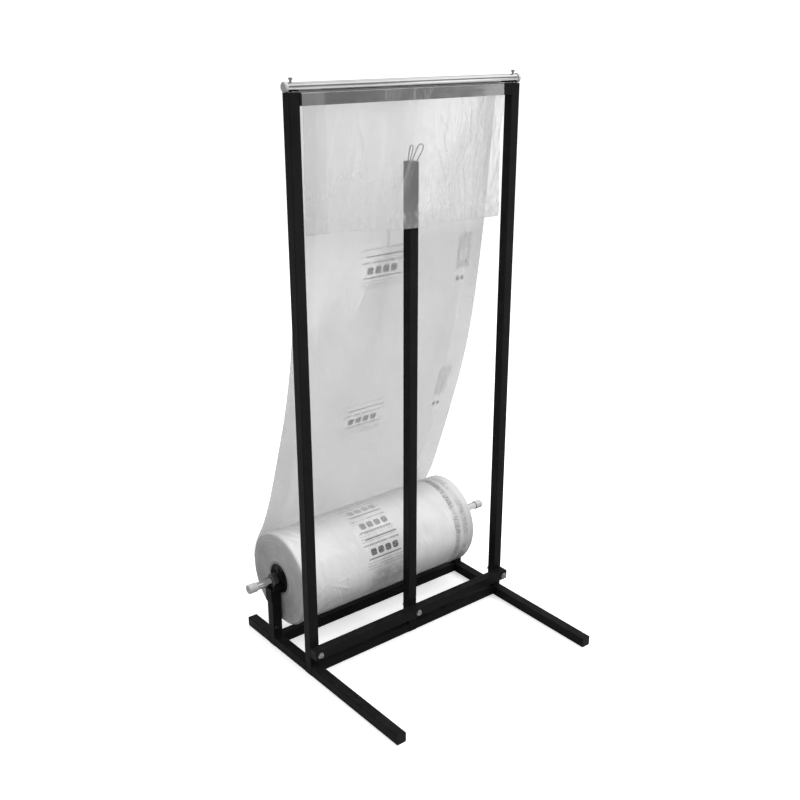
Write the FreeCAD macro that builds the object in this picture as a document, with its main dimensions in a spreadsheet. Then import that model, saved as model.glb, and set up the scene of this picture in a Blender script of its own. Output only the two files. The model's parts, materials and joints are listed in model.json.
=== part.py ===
import FreeCAD, Part
import os
import Sketcher
from FreeCAD import Vector, Rotation, Placement

# Floor-standing dispenser for plastic film bags on a roll.
# Frame: X along the cross beam (left to right seen from the front),
# Y towards the roll at the back, Z up. Origin on the floor, in the middle
# of the frame's width, at the front face of the uprights.

doc = FreeCAD.newDocument("BagRollStand")
sheet = doc.addObject("Spreadsheet::Sheet", "Dims")

CELLS = [
    # square tube frame
    ("tube", 25.0), ("wall", 1.5), ("corner", 2.0), ("frame_width", 622.0),
    ("front_reach", 338.0), ("rear_reach", 290.0), ("frame_top", 1348.8),
    ("cap_plate", 3.0), ("centre_top", 1195.0), ("centre_x", 2.0),
    ("beam_low", 54.0), ("bolt_gap", 0.2),
    # moulded plugs in the tube ends
    ("plug_head", 3.0), ("stem_gap", 0.1),
    # stub posts and cradles for the roll shaft
    ("stub_y", 163.5), ("stub_top", 160.5), ("strap", 3.0),
    ("cradle_front", 175.0), ("cradle_rear", 180.0), ("cradle_leg_low", 127.0),
    ("seat_gap", 0.05), ("lip_gap", 0.25), ("bend", 3.0),
    ("foot_screw_x", 303.0), ("foot_screw_z", 54.0),
    # roll shaft and its end caps
    ("shaft_radius", 9.5), ("shaft_wall", 2.0), ("shaft_left", 369.5), ("shaft_right", 389.0),
    ("endcap_radius", 11.5), ("endcap_len", 22.0), ("endcap_face", 3.0), ("cap_gap", 0.02),
    # ball bearings; every race size is a radius but the width
    ("race_outer", 17.5), ("race_land", 15.0), ("race_inner", 12.0),
    ("race_bore", 9.525), ("race_width", 12.0), ("ball_radius", 2.38),
    ("groove_radius", 2.45), ("shield_thick", 0.6), ("shield_gap", 0.2), ("shield_fit", 0.01),
    # film roll and its core
    ("roll_left", 282.0), ("roll_right", 261.0), ("roll_radius", 116.0), ("roll_gap", 0.05),
    ("core_outer", 44.0), ("core_inner", 38.1),
    # core plugs
    ("plug_radius", 37.5), ("barrel_radius", 37.9), ("plug_len", 38.0),
    ("plug_proud", 1.0), ("nose_depth", 4.0), ("nose_len", 6.0), ("barrel_taper", 3.0),
    ("rim_bevel_len", 0.4), ("rim_bevel_depth", 0.6), ("rim_width", 5.0), ("rim_foot", 6.0),
    ("face_recess", 2.0), ("hub_radius", 15.0), ("hub_len", 7.0), ("hub_flare", 2.0),
    ("hub_bevel", 1.0), ("pocket_radius", 4.5), ("pocket_pitch", 23.0), ("pocket_deep", 9.0),
    ("set_screw_radius", 2.45), ("set_screw_lift", 0.05), ("set_screw_short", 0.5),
    ("set_screw_recess", 2.2), ("set_screw_hex", 3.0),
    # tension bar and its guide bolts
    ("bar_radius", 9.0), ("bar_wall", 1.5), ("bar_half", 313.0),
    ("barcap_radius", 10.5), ("barcap_len", 7.0), ("barcap_face", 3.0),
    ("guide_radius", 2.5), ("guide_hole", 3.0), ("guide_low", 1338.0), ("guide_lift", 5.0),
    ("guide_head_radius", 4.25), ("guide_head", 3.5),
    # film sheet as a soft solid
    ("film_thick", 0.5), ("film_gap", 0.1), ("flap_low", 1052.0),
    ("flap_tail", 1321.0), ("web_top", 1316.0), ("web_thick", 0.6),
    # fasteners
    ("bolt_radius", 4.0), ("bolt_head_radius", 7.0), ("bolt_head", 4.4), ("bolt_tail", 2.0),
    ("tip_bevel", 0.5), ("washer_radius", 8.0), ("washer_thick", 1.6), ("washer_gap", 0.25),
    ("nut_thick", 6.8), ("nut_corner", 7.5), ("thread_gap", 0.05), ("screw_radius", 3.0),
    ("screw_head_radius", 5.0), ("screw_head", 3.0), ("screw_len", 14.0),
    # wire loops on the centre post
    ("wire_radius", 1.3), ("loop_rise", 37.0),
]


class Length:
    """A length that carries its number and the sheet expression behind it."""

    def __init__(self, value, text):
        self.value = float(value)
        self.text = text

    def __add__(self, other):
        other = as_length(other)
        return Length(self.value + other.value, "(%s + %s)" % (self.text, other.text))

    def __sub__(self, other):
        other = as_length(other)
        return Length(self.value - other.value, "(%s - %s)" % (self.text, other.text))

    def __mul__(self, other):
        other = as_length(other)
        return Length(self.value * other.value, "(%s * %s)" % (self.text, other.text))

    __rmul__ = __mul__

    def __truediv__(self, other):
        other = as_length(other)
        return Length(self.value / other.value, "(%s / %s)" % (self.text, other.text))

    def __neg__(self):
        return Length(-self.value, "(-1 * %s)" % self.text)


def as_length(value):
    if isinstance(value, Length):
        return value
    return Length(value, "%.6f" % value if value >= 0 else "(-%.6f)" % -value)


class Dimensions:
    """Holds one Length for each alias of the sheet."""


dim = Dimensions()
for row, (alias, value) in enumerate(CELLS, 1):
    sheet.set("A%d" % row, alias)
    sheet.set("B%d" % row, repr(value))
    sheet.setAlias("B%d" % row, alias)
    setattr(dim, alias, Length(value, "Dims." + alias))
doc.recompute()

TO_PX = Rotation(Vector(0, 1, 0), 90)    # local Z to +X
TO_MX = Rotation(Vector(0, 1, 0), -90)   # local Z to -X
TO_MY = Rotation(Vector(1, 0, 0), 90)    # local Z to -Y
TO_PY = Rotation(Vector(1, 0, 0), -90)   # local Z to +Y
SIDES = (("left", -1), ("right", 1))     # name and sign of X
OUTWARD = {-1: TO_MX, 1: TO_PX}          # sign of X to the turn that faces outward
OVER = 1                                 # how far a cutter runs past the material

half_tube = dim.tube / 2
outer_x = dim.frame_width / 2
inner_x = outer_x - dim.tube             # inner faces of the uprights
post_x = outer_x - half_tube             # centre line of the outer posts
beam_half = outer_x - dim.plug_head
front_end = -(dim.front_reach - dim.plug_head)
rear_end = dim.rear_reach - dim.plug_head
bolt_z = dim.beam_low + half_tube
shaft_y = dim.stub_y + half_tube
shaft_z = dim.stub_top + dim.strap + dim.seat_gap + dim.race_outer
roll_len = dim.roll_left + dim.roll_right
BEAM_BOLTS = (("left", -post_x), ("centre", dim.centre_x), ("right", post_x))

pieces = []                              # objects exported, one file each


# --- document helpers ---------------------------------------------------------
def bind(obj, prop, value):
    obj.setExpression(prop, as_length(value).text)


def place(obj, x, y, z, turn=None):
    x, y, z = as_length(x), as_length(y), as_length(z)
    obj.Placement = Placement(Vector(x.value, y.value, z.value), turn or Rotation())
    bind(obj, "Placement.Base.x", x)
    bind(obj, "Placement.Base.y", y)
    bind(obj, "Placement.Base.z", z)


def box(name, *spans):
    """Box from its (low, high) spans in X, Y and Z."""
    block = doc.addObject("Part::Box", name)
    for prop, (low, high) in zip(("Length", "Width", "Height"), spans):
        bind(block, prop, as_length(high) - low)
    place(block, *[low for low, high in spans])
    return block


def cylinder(name, x, y, z, radius, height, turn=None):
    rod = doc.addObject("Part::Cylinder", name)
    bind(rod, "Radius", radius)
    bind(rod, "Height", height)
    place(rod, x, y, z, turn)
    return rod


def hexagon(name, x, y, z, radius, height, turn=None):
    prism = doc.addObject("Part::Prism", name)
    prism.Polygon = 6
    bind(prism, "Circumradius", radius)
    bind(prism, "Height", height)
    place(prism, x, y, z, turn)
    return prism


def fuse(name, parts):
    fused = doc.addObject("Part::MultiFuse", name)
    fused.Shapes = parts
    return fused


def cut(name, base, tools):
    result = doc.addObject("Part::Cut", name)
    result.Base = base
    result.Tool = fuse(name + "_tools", tools) if len(tools) > 1 else tools[0]
    return result


def group(name, parts):
    compound = doc.addObject("Part::Compound", name)
    compound.Links = parts
    return compound


def origin_feature(body, role):
    return [f for f in body.Origin.OriginFeatures if f.Role == role][0]


def drive(sketch, kind, place_args, value):
    """Dimensional constraint bound to the sheet."""
    index = sketch.addConstraint(Sketcher.Constraint(kind, *place_args, value.value))
    sketch.setExpression("Constraints[%d]" % index, value.text)


def polygon(body, name, role, points):
    """Closed polygon sketch; every corner is held by distances bound to the sheet."""
    sketch = body.newObject("Sketcher::SketchObject", name)
    sketch.AttachmentSupport = [(origin_feature(body, role), "")]
    sketch.MapMode = "FlatFace"
    points = [(as_length(across), as_length(up)) for across, up in points]
    corners = [Vector(across.value, up.value, 0) for across, up in points]
    count = len(points)
    for i in range(count):
        sketch.addGeometry(Part.LineSegment(corners[i], corners[(i + 1) % count]), False)
    for i in range(count):
        sketch.addConstraint(Sketcher.Constraint("Coincident", i, 2, (i + 1) % count, 1))
    for i, (across, up) in enumerate(points):
        # A corner on an axis is held to it: -2 is the vertical one, -1 the horizontal.
        for value, kind, axis in ((across, "DistanceX", -2), (up, "DistanceY", -1)):
            if abs(value.value) < 1e-9:
                sketch.addConstraint(Sketcher.Constraint("PointOnObject", i, 1, axis))
            else:
                drive(sketch, kind, (-1, 1, i, 1), value)
    return sketch


def pad(body, name, sketch, length):
    feature = body.newObject("PartDesign::Pad", name)
    feature.Profile = sketch
    bind(feature, "Length", length)
    body.Tip = feature
    return feature


def round_edges(body, name, chosen, radius):
    """Fillet the edges of the body's tip that pass the test."""
    base = body.Tip
    doc.recompute()
    edges = ["Edge%d" % (i + 1) for i, e in enumerate(base.Shape.Edges) if chosen(e)]
    fillet = body.newObject("PartDesign::Fillet", name)
    fillet.Base = (base, edges)
    bind(fillet, "Radius", radius)
    body.Tip = fillet


def turned(name, points, x, y, z, turn=None):
    """Body turned about its local Z from a half profile of (radius, height)."""
    body = doc.addObject("PartDesign::Body", name)
    sketch = polygon(body, name + "_profile", "XZ_Plane", points)
    revolution = body.newObject("PartDesign::Revolution", name + "_turn")
    revolution.Profile = sketch
    revolution.ReferenceAxis = (sketch, ["V_Axis"])
    revolution.Angle = 360.0
    body.Tip = revolution
    place(body, x, y, z, turn)
    return body


def sleeve(name, inner, outer, length, x, y, z, turn):
    """Plain hollow cylinder."""
    points = [(inner, 0), (outer, 0), (outer, length), (inner, length)]
    return turned(name, points, x, y, z, turn)


def cup(name, x, y, z, turn, radius, bore, length, face):
    """End cap: a cup pushed over a tube end, chamfered round its closed face."""
    bevel = face * 0.5
    return turned(name, [
        (bore, 0), (radius, 0), (radius, length - bevel), (radius - bevel, length),
        (0, length), (0, length - face), (bore, length - face)], x, y, z, turn)


def rounded(name, blank, axis):
    """The blank with its four edges along an axis rounded to the tube's corner radius."""
    radius = dim.corner.value
    doc.recompute()
    fillet = doc.addObject("Part::Fillet", name)
    fillet.Base = blank
    fillet.Edges = [(i + 1, radius, radius) for i, e in enumerate(blank.Shape.Edges)
                    if abs(e.tangentAt(e.FirstParameter)[axis]) > 0.999]
    return fillet


def square_tube(name, axis, *spans, holes=()):
    """Square tube along an axis (0, 1, 2 for X, Y, Z), open at both ends, with cross holes."""
    outer = rounded(name + "_corners", box(name + "_outer", *spans), axis)
    hollow = []
    for i, (low, high) in enumerate(spans):
        inset = -OVER if i == axis else dim.wall
        hollow.append((as_length(low) + inset, as_length(high) - inset))
    pieces.append(cut(name, outer, [box(name + "_inner", *hollow)] + list(holes)))


def post_span(x):
    return (x - half_tube, x + half_tube)


def bolt_hole(name, x, y):
    """Bore for a beam bolt through one tube; y is where the cutter starts."""
    return cylinder(name, x, y, bolt_z, dim.bolt_radius + dim.bolt_gap,
                    dim.tube + 2 * OVER, TO_PY)


# --- base rails: three lengths a side, butt welded between the posts ----------
floor_span = (0, dim.tube)
upright_span = (0, dim.tube)
stub_span = (dim.stub_y, dim.stub_y + dim.tube)
for side, sign in SIDES:
    across = post_span(sign * post_x)
    square_tube(side + "_front_rail", 1, across, (front_end, 0), floor_span)
    square_tube(side + "_middle_rail", 1, across, (dim.tube, dim.stub_y), floor_span)
    square_tube(side + "_rear_rail", 1, across, (stub_span[1], rear_end), floor_span)

# --- uprights, centre post, cross members -------------------------------------
for side, sign in SIDES:
    square_tube(side + "_upright", 2, post_span(sign * post_x), upright_span,
                (0, dim.frame_top - dim.cap_plate),
                holes=[bolt_hole(side + "_upright_bore", sign * post_x, -OVER)])
centre_span = post_span(dim.centre_x)
between = (-inner_x, inner_x)
square_tube("centre_post", 2, centre_span, upright_span, (0, dim.centre_top - dim.plug_head),
            holes=[bolt_hole("centre_post_bore", dim.centre_x, -OVER)])
square_tube("top_cross_member", 0, between, upright_span,
            (dim.frame_top - dim.tube, dim.frame_top))
square_tube("lower_cross_tube_left", 0, (-inner_x, centre_span[0]), upright_span, floor_span)
square_tube("lower_cross_tube_right", 0, (centre_span[1], inner_x), upright_span, floor_span)
square_tube("rear_cross_tube", 0, between, stub_span, floor_span)
square_tube("front_beam", 0, (-beam_half, beam_half), (-dim.tube, 0),
            (dim.beam_low, dim.beam_low + dim.tube),
            holes=[bolt_hole("front_beam_bore_" + spot, x, -(dim.tube + OVER))
                   for spot, x in BEAM_BOLTS])

# --- stub posts that carry the roll -------------------------------------------
for side, sign in SIDES:
    bore = cylinder(side + "_stub_bore", sign * dim.foot_screw_x, dim.stub_y - OVER,
                    dim.foot_screw_z, dim.screw_radius + dim.bolt_gap,
                    dim.wall + 2 * OVER, TO_PY)
    square_tube(side + "_stub_post", 2, post_span(sign * post_x), stub_span,
                (0, dim.stub_top), holes=[bore])


# --- cradles --------------------------------------------------------------------
def shaft_cradle(side, sign):
    """Folded strap: a U across the post holds the bearing between a low front lip and
    a higher rear lip; a leg laps down the outer face of the post."""
    body = doc.addObject("PartDesign::Body", side + "_shaft_cradle_strap")
    strap = dim.strap
    reach = dim.race_outer + dim.lip_gap
    front = shaft_y - reach - strap
    rear = shaft_y + reach + strap
    low = dim.stub_top
    sketch = polygon(body, side + "_cradle_profile", "YZ_Plane", [
        (front, low), (rear, low), (rear, dim.cradle_rear), (rear - strap, dim.cradle_rear),
        (rear - strap, low + strap), (front + strap, low + strap),
        (front + strap, dim.cradle_front), (front, dim.cradle_front)])
    pad(body, side + "_cradle_strap_pad", sketch, dim.tube)
    place(body, post_span(sign * post_x)[0], 0, 0)

    def is_bottom_corner(edge):
        return (abs(edge.Vertexes[0].Z - low.value) < 1e-6
                and abs(edge.Vertexes[-1].Z - low.value) < 1e-6
                and abs(edge.BoundBox.XLength - dim.tube.value) < 1e-6)

    round_edges(body, side + "_cradle_bends", is_bottom_corner, dim.bend)
    leg_x = -outer_x - strap if sign < 0 else outer_x
    leg = box(side + "_cradle_leg", (leg_x, leg_x + strap), stub_span,
              (dim.cradle_leg_low, low + strap))
    return fuse(side + "_shaft_cradle", [body, leg])


for side, sign in SIDES:
    pieces.append(shaft_cradle(side, sign))


# --- moulded plugs that close the open tube ends ------------------------------
def square(half):
    return [(-half, -half), (half, -half), (half, half), (-half, half)]


def tube_plug(name, x, y, z, turn=None, stem_len=dim.plug_head * 5):
    """Head flush with the tube outside, square stem inside; local +Z points out."""
    head = dim.plug_head
    body = doc.addObject("PartDesign::Body", name)
    sketch = polygon(body, name + "_head", "XY_Plane", square(half_tube))
    pad(body, name + "_head_pad", sketch, head)
    round_edges(body, name + "_head_corners",
                lambda e: e.BoundBox.ZLength > head.value * 0.9, dim.corner)
    round_edges(body, name + "_head_round",
                lambda e: e.BoundBox.ZMin > head.value - 1e-6, head * 0.4)
    sketch = polygon(body, name + "_stem", "XY_Plane",
                     square(half_tube - dim.wall - dim.stem_gap))
    stem = pad(body, name + "_stem_pad", sketch, stem_len)
    stem.Reversed = True
    place(body, x, y, z, turn)
    return body


pieces.append(group("rail_end_plugs", [
    tube_plug("plug_%s_%s" % (end, side), sign * post_x, y, half_tube, turn)
    for end, y, turn in (("front", front_end, TO_MY), ("rear", rear_end, TO_PY))
    for side, sign in SIDES]))
pieces.append(group("beam_end_plugs", [
    tube_plug("plug_beam_" + side, sign * beam_half, -half_tube, bolt_z, OUTWARD[sign],
              dim.plug_head * 1.5) for side, sign in SIDES]))
pieces.append(tube_plug("centre_post_plug", dim.centre_x, half_tube,
                        dim.centre_top - dim.plug_head))

# --- cap plates on the uprights, bored for the guide bolts --------------------
caps = []
for side, sign in SIDES:
    low = dim.frame_top - dim.cap_plate
    plate = box(side + "_cap_plate", post_span(sign * post_x), upright_span,
                (low, dim.frame_top))
    bore = cylinder(side + "_cap_bore", sign * post_x, half_tube, low - OVER,
                    dim.guide_radius + dim.thread_gap, dim.cap_plate + 2 * OVER)
    caps.append(cut(side + "_cap_cut", rounded(side + "_cap_corners", plate, 2), [bore]))
pieces.append(group("upright_caps", caps))

# --- fasteners of the front beam and stub posts -------------------------------
# Button head outline: shares of the head's radius and of its height.
DOME = [(1, 0), (1, 0.25), (0.93, 0.58), (0.80, 0.82), (0.62, 0.96), (0.5, 1)]
# Hexagon recess: circumradius as a share of the head's radius, then the start
# and length of its cutter as shares of the head's height.
RECESS_RADIUS, RECESS_START, RECESS_LEN = 0.38, 0.45, 0.7


def button_screw(name, x, y, z, radius, head_radius, head, length):
    """Button head with a hexagon recess, in front of y; the shank runs back from y."""
    bevel = dim.tip_bevel
    shank = [(0, -length), (radius - bevel, -length), (radius, -(length - bevel)), (radius, 0)]
    dome = [(head_radius * across, head * up) for across, up in DOME]
    blank = turned(name + "_blank", shank + dome + [(0, head)], x, y, z, TO_MY)
    recess = hexagon(name + "_hex", x, y - head * RECESS_START, z,
                     head_radius * RECESS_RADIUS, head * RECESS_LEN, TO_MY)
    return cut(name, blank, [recess])


def washer(name, x, y):
    return sleeve(name, dim.bolt_radius + dim.washer_gap, dim.washer_radius,
                  dim.washer_thick, x, y, bolt_z, TO_PY)


bolts, washers, nuts = [], [], []
head_y = -(dim.tube + dim.washer_thick)
nut_y = dim.tube + dim.washer_thick
bolt_len = dim.tube * 2 + dim.washer_thick * 2 + dim.nut_thick + dim.bolt_tail
for spot, x in BEAM_BOLTS:
    bolts.append(button_screw("beam_bolt_" + spot, x, head_y, bolt_z, dim.bolt_radius,
                              dim.bolt_head_radius, dim.bolt_head, bolt_len))
    washers.append(washer("front_washer_" + spot, x, head_y))
    washers.append(washer("rear_washer_" + spot, x, dim.tube))
    blank = hexagon("nut_blank_" + spot, x, nut_y, bolt_z, dim.nut_corner, dim.nut_thick, TO_PY)
    bore = cylinder("nut_bore_" + spot, x, nut_y - OVER, bolt_z,
                    dim.bolt_radius + dim.thread_gap, dim.nut_thick + 2 * OVER, TO_PY)
    nuts.append(cut("beam_nut_" + spot, blank, [bore]))
pieces.append(group("beam_bolts", bolts))
pieces.append(group("beam_washers", washers))
pieces.append(group("beam_nuts", nuts))
pieces.append(group("stub_post_screws", [
    button_screw("stub_screw_" + side, sign * dim.foot_screw_x, dim.stub_y, dim.foot_screw_z,
                 dim.screw_radius, dim.screw_head_radius, dim.screw_head, dim.screw_len)
    for side, sign in SIDES]))

# --- tension bar: its end caps rest on the uprights, which leaves a slot for the
# film under the tube; it lifts on two guide bolts -----------------------------
bar_z = dim.frame_top + dim.seat_gap + dim.barcap_radius
bar_blank = sleeve("tension_bar_blank", dim.bar_radius - dim.bar_wall, dim.bar_radius,
                   dim.bar_half * 2, -dim.bar_half, half_tube, bar_z, TO_PX)
pieces.append(cut("tension_bar_tube", bar_blank, [
    cylinder("bar_hole_" + side, sign * post_x, half_tube, bar_z - dim.bar_radius - 2 * OVER,
             dim.guide_hole, dim.bar_radius * 2 + 4 * OVER) for side, sign in SIDES]))
pieces.append(group("tension_bar_end_caps", [
    cup("bar_cap_" + side, sign * (dim.bar_half + dim.barcap_face - dim.barcap_len), half_tube,
        bar_z, OUTWARD[sign], dim.barcap_radius, dim.bar_radius + dim.cap_gap,
        dim.barcap_len, dim.barcap_face) for side, sign in SIDES]))


def guide_bolt(name, x):
    """Upright bolt whose head stands clear above the bar by the lift."""
    shank = bar_z + dim.bar_radius + dim.guide_lift - dim.guide_low
    top = shank + dim.guide_head
    return turned(name, [
        (0, 0), (dim.guide_radius, 0), (dim.guide_radius, shank),
        (dim.guide_head_radius, shank), (dim.guide_head_radius, shank + dim.guide_head * 0.7),
        (dim.guide_head_radius * 0.75, top), (0, top)], x, half_tube, dim.guide_low)


pieces.append(group("guide_bolts", [
    guide_bolt("guide_bolt_" + side, sign * post_x) for side, sign in SIDES]))

# --- roll shaft and its end caps ----------------------------------------------
tube_left = dim.shaft_left - dim.endcap_face
tube_right = dim.shaft_right - dim.endcap_face
pieces.append(sleeve("roll_shaft", dim.shaft_radius - dim.shaft_wall, dim.shaft_radius,
                     tube_left + tube_right, -tube_left, shaft_y, shaft_z, TO_PX))
pieces.append(group("shaft_end_caps", [
    cup("shaft_cap_" + side, sign * (end - dim.endcap_len), shaft_y, shaft_z, OUTWARD[sign],
        dim.endcap_radius, dim.shaft_radius + dim.cap_gap, dim.endcap_len, dim.endcap_face)
    for side, sign, end in (("left", -1, dim.shaft_left), ("right", 1, dim.shaft_right))]))

# --- ball bearings ------------------------------------------------------------
BALL_COUNT = 10
ball_pitch = (dim.race_land + dim.race_inner) / 2     # radius of the ring of balls


def groove(name, x):
    torus = doc.addObject("Part::Torus", name)
    bind(torus, "Radius1", ball_pitch)
    bind(torus, "Radius2", dim.groove_radius)
    place(torus, x, shaft_y, shaft_z, TO_PX)
    return torus


outer_rings, inner_rings, balls, shields = [], [], [], []
width = dim.race_width
bevel = dim.shield_thick       # the outer ring's chamfer matches the shield
for side, sign in SIDES:
    middle = sign * post_x
    start = middle - width / 2
    blank = turned("outer_ring_blank_" + side, [
        (dim.race_land, 0), (dim.race_outer - bevel, 0), (dim.race_outer, bevel),
        (dim.race_outer, width - bevel), (dim.race_outer - bevel, width),
        (dim.race_land, width)], start, shaft_y, shaft_z, TO_PX)
    outer_rings.append(cut("outer_ring_" + side, blank,
                           [groove("outer_groove_" + side, middle)]))
    blank = sleeve("inner_ring_blank_" + side, dim.race_bore, dim.race_inner, width,
                   start, shaft_y, shaft_z, TO_PX)
    inner_rings.append(cut("inner_ring_" + side, blank,
                           [groove("inner_groove_" + side, middle)]))
    for k in range(BALL_COUNT):
        spoke = Rotation(Vector(1, 0, 0), 360.0 / BALL_COUNT * k).multVec(Vector(0, 0, 1))
        ball = doc.addObject("Part::Sphere", "ball_%s_%d" % (side, k))
        bind(ball, "Radius", dim.ball_radius)
        place(ball, middle, shaft_y + ball_pitch * spoke.y, shaft_z + ball_pitch * spoke.z)
        balls.append(ball)
    for end, x in (("a", start), ("b", middle + width / 2 - dim.shield_thick)):
        shields.append(sleeve("shield_%s_%s" % (side, end), dim.race_inner + dim.shield_gap,
                              dim.race_land - dim.shield_fit, dim.shield_thick,
                              x, shaft_y, shaft_z, TO_PX))
pieces.append(group("bearing_outer_rings", outer_rings))
pieces.append(group("bearing_inner_rings", inner_rings))
pieces.append(group("bearing_balls", balls))
pieces.append(group("bearing_shields", shields))

# --- core plugs and their set screws ------------------------------------------
POCKET_COUNT = 6
SET_HEX_SHARE = 0.55           # hexagon circumradius as a share of the screw's radius
plug_face = dim.plug_len + dim.plug_proud
recess_z = plug_face - dim.face_recess
hub_end = plug_face + dim.hub_len


def add_pockets(body, side):
    """Ring of blind round pockets sunk from the recessed outer face."""
    doc.recompute()
    solid_volume = body.Tip.Shape.Volume
    circle = body.newObject("Sketcher::SketchObject", side + "_pocket_circle")
    circle.AttachmentSupport = [(origin_feature(body, "XY_Plane"), "")]
    circle.MapMode = "FlatFace"
    circle.AttachmentOffset = Placement(Vector(0, 0, recess_z.value), Rotation())
    bind(circle, "AttachmentOffset.Base.z", recess_z)
    circle.addGeometry(Part.Circle(Vector(dim.pocket_pitch.value, 0, 0), Vector(0, 0, 1),
                                   dim.pocket_radius.value), False)
    drive(circle, "Radius", (0,), dim.pocket_radius)
    circle.addConstraint(Sketcher.Constraint("PointOnObject", 0, 3, -1))
    drive(circle, "DistanceX", (-1, 1, 0, 3), dim.pocket_pitch)
    pocket = body.newObject("PartDesign::Pocket", side + "_pocket")
    pocket.Profile = circle
    bind(pocket, "Length", dim.pocket_deep)
    body.Tip = pocket
    doc.recompute()
    # A pocket that removes almost nothing points out of the plug: turn it round.
    if pocket.Shape.Volume > solid_volume - 100:
        pocket.Reversed = True
        doc.recompute()
    pattern = body.newObject("PartDesign::PolarPattern", side + "_pockets")
    pattern.Originals = [pocket]
    pattern.Axis = (origin_feature(body, "Z_Axis"), [""])
    pattern.Angle = 360
    pattern.Occurrences = POCKET_COUNT
    body.Tip = pattern
    doc.recompute()


def core_plug(side, sign, roll_end, screw_x):
    """Turned barrel and hub, closed face outward, with a set screw bore in the hub."""
    bore, barrel, rim, hub = dim.race_bore, dim.barrel_radius, dim.plug_radius, dim.hub_radius
    body = turned(side + "_plug", [
        (bore, 0), (barrel - dim.nose_depth, 0), (barrel, dim.nose_len),
        (barrel, dim.plug_len - dim.barrel_taper), (rim, dim.plug_len),
        (rim, plug_face - dim.rim_bevel_len), (rim - dim.rim_bevel_depth, plug_face),
        (rim - dim.rim_width, plug_face), (rim - dim.rim_foot, recess_z),
        (hub + dim.hub_flare, recess_z), (hub, plug_face), (hub, hub_end - dim.hub_bevel),
        (hub - dim.hub_bevel, hub_end), (bore, hub_end)],
        sign * (roll_end - dim.plug_len), shaft_y, shaft_z, OUTWARD[sign])
    add_pockets(body, side)
    tapped = cylinder(side + "_set_screw_bore", screw_x, shaft_y, shaft_z + bore - OVER,
                      dim.set_screw_radius + dim.thread_gap, hub - bore + 3 * OVER)
    return cut(side + "_core_plug", body, [tapped])


def set_screw(side, x):
    """Headless screw standing on the shaft, hexagon recess on top."""
    blank = cylinder(side + "_set_screw_blank", x, shaft_y,
                     shaft_z + dim.shaft_radius + dim.set_screw_lift, dim.set_screw_radius,
                     dim.hub_radius - dim.shaft_radius - dim.set_screw_short)
    recess = hexagon(side + "_set_screw_hex", x, shaft_y,
                     shaft_z + dim.hub_radius - dim.set_screw_recess,
                     dim.set_screw_radius * SET_HEX_SHARE, dim.set_screw_hex)
    return cut(side + "_set_screw", blank, [recess])


set_screws = []
for side, sign, roll_end in (("left", -1, dim.roll_left), ("right", 1, dim.roll_right)):
    screw_x = sign * (roll_end + dim.plug_proud + dim.hub_len / 2)
    pieces.append(core_plug(side, sign, roll_end, screw_x))
    set_screws.append(set_screw(side, screw_x))
pieces.append(group("plug_set_screws", set_screws))

# --- core tube and the wound film ---------------------------------------------
pieces.append(sleeve("core_tube", dim.core_inner, dim.core_outer, roll_len,
                     -dim.roll_left, shaft_y, shaft_z, TO_PX))
pieces.append(sleeve("film_roll", dim.core_outer + dim.roll_gap, dim.roll_radius, roll_len,
                     -dim.roll_left, shaft_y, shaft_z, TO_PX))


# --- film draped over the top member ------------------------------------------
def film_flap():
    """Inverted U with the long side in front."""
    gap = dim.film_gap
    front = -(gap + dim.film_thick)
    back = dim.tube + gap
    under = dim.frame_top + gap
    body = doc.addObject("PartDesign::Body", "film_flap")
    sketch = polygon(body, "film_flap_profile", "YZ_Plane", [
        (front, dim.flap_low), (-gap, dim.flap_low), (-gap, under), (back, under),
        (back, dim.flap_tail), (back + dim.film_thick, dim.flap_tail),
        (back + dim.film_thick, under + dim.film_thick), (front, under + dim.film_thick)])
    pad(body, "film_flap_pad", sketch, roll_len)
    place(body, -dim.roll_left, 0, 0)
    return body


pieces.append(film_flap())

# --- film web: a sheet from the back of the roll up to the top member ---------
# Middle of the sheet's thickness as (y, z), from the roll upwards.
WEB_PATH = [
    (279.2, 237.6), (259.5, 272.0), (231.5, 325.0), (200.5, 400.0), (173.5, 475.0),
    (147.5, 550.0), (118.0, 640.0), (93.5, 735.0), (74.5, 835.0), (59.5, 940.0),
    (46.5, 1050.0), (36.5, 1180.0), (28.2, dim.web_top.value)]
WEB_STEPS = 48


def spline(points):
    curve = Part.BSplineCurve()
    curve.interpolate(points)
    return curve


def film_web():
    """The path offset by half the thickness to both sides, extruded along X."""
    half_thick = dim.web_thick.value / 2
    path = spline([Vector(0, y, z) for y, z in WEB_PATH])
    first = path.FirstParameter
    front, back = [], []
    for i in range(WEB_STEPS + 1):
        u = first + (path.LastParameter - first) * i / WEB_STEPS
        point = path.value(u)
        along = path.tangent(u)[0]
        normal = Vector(0, along.z, -along.y)
        front.append(point - normal * half_thick)
        back.append(point + normal * half_thick)
    wire = Part.Wire([
        spline(front).toShape(), Part.LineSegment(front[-1], back[-1]).toShape(),
        spline(back).toShape(), Part.LineSegment(back[0], front[0]).toShape()])
    face = Part.Face(Part.Wire(Part.__sortEdges__(wire.Edges)))
    web = doc.addObject("Part::Feature", "film_web")
    web.Shape = face.extrude(Vector(roll_len.value, 0, 0))
    place(web, -dim.roll_left, 0, 0)
    return web


pieces.append(film_web())

# --- wire loops: two hairpins standing on the centre post's plug --------------
FOOT_GAP = 0.02                # between the cut feet and the plug
KEEP_SIZE = 200                # side of the box that keeps the wire above the plug
rise = dim.loop_rise.value
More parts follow.
